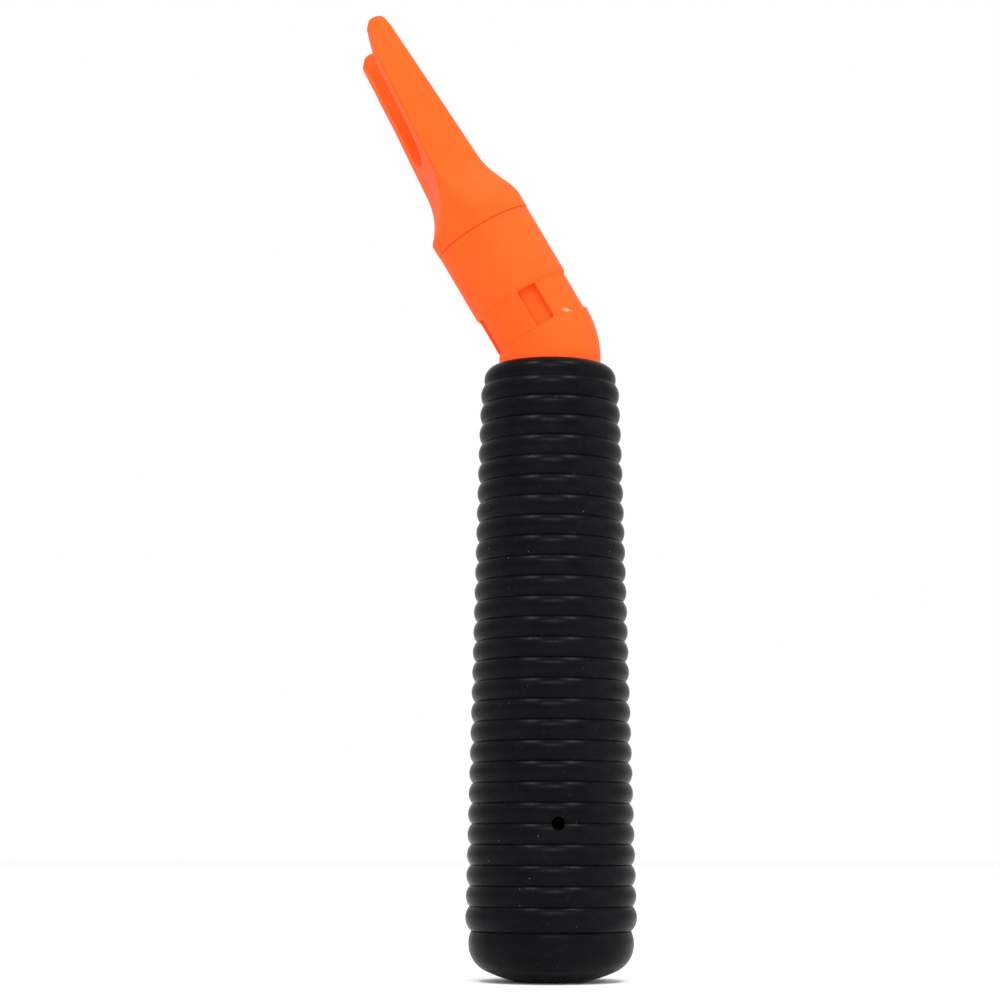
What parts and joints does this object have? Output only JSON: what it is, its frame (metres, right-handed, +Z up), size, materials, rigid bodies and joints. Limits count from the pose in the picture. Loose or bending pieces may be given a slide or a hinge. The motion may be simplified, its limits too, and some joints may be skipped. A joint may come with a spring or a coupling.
{
  "type": "angled fork-nose hand tool",
  "caption": "Hand tool with a tapered ribbed rubber grip, a bent elbow, a swivel head and a long slotted fork nose for tucking and holding carpet edges.",
  "frame": {"origin": "centre of the small flat at the foot of the butt cap", "axes": "+Z up the grip's axis towards the elbow; the head leans towards -X; the longer tine of the nose is on the -Y side"},
  "size_m": [0.0586, 0.0358, 0.2046],
  "materials": {
    "orange_plastic": "fine-grained moulded plastic",
    "black_rubber": "satin rubber",
    "aluminium_tube": "drawn tube",
    "zinc_steel": "zinc plated",
    "spring_steel": "hardened spring steel",
    "brass": "knurled insert",
    "nylon": "natural nylon"
  },
  "bodies": {
    "handle": {"grip_sleeve": "black_rubber", "butt_cap": "black_rubber", "cap_disc": "black_rubber", "cap_screw": "zinc_steel", "cap_washer": "zinc_steel", "end_plug": "nylon", "core_tube": "aluminium_tube", "cross_pins": "zinc_steel", "elbow": "orange_plastic", "thread_insert": "brass", "swivel_screw": "zinc_steel", "swivel_washer": "zinc_steel", "disc_spring": "spring_steel", "spigot_o_ring": "black_rubber"},
    "head": {"swivel_collar": "orange_plastic", "thrust_ring": "nylon", "nose_fork": "orange_plastic", "nose_snap_ring": "spring_steel"}
  },
  "joints": [
    {"name": "head_swivel", "type": "hinge", "parent": "handle", "child": "head", "pos_m": [-0.00153, 0, 0.1371], "axis": [-0.5045, 0, 0.8634], "continuous": true}
  ]
}
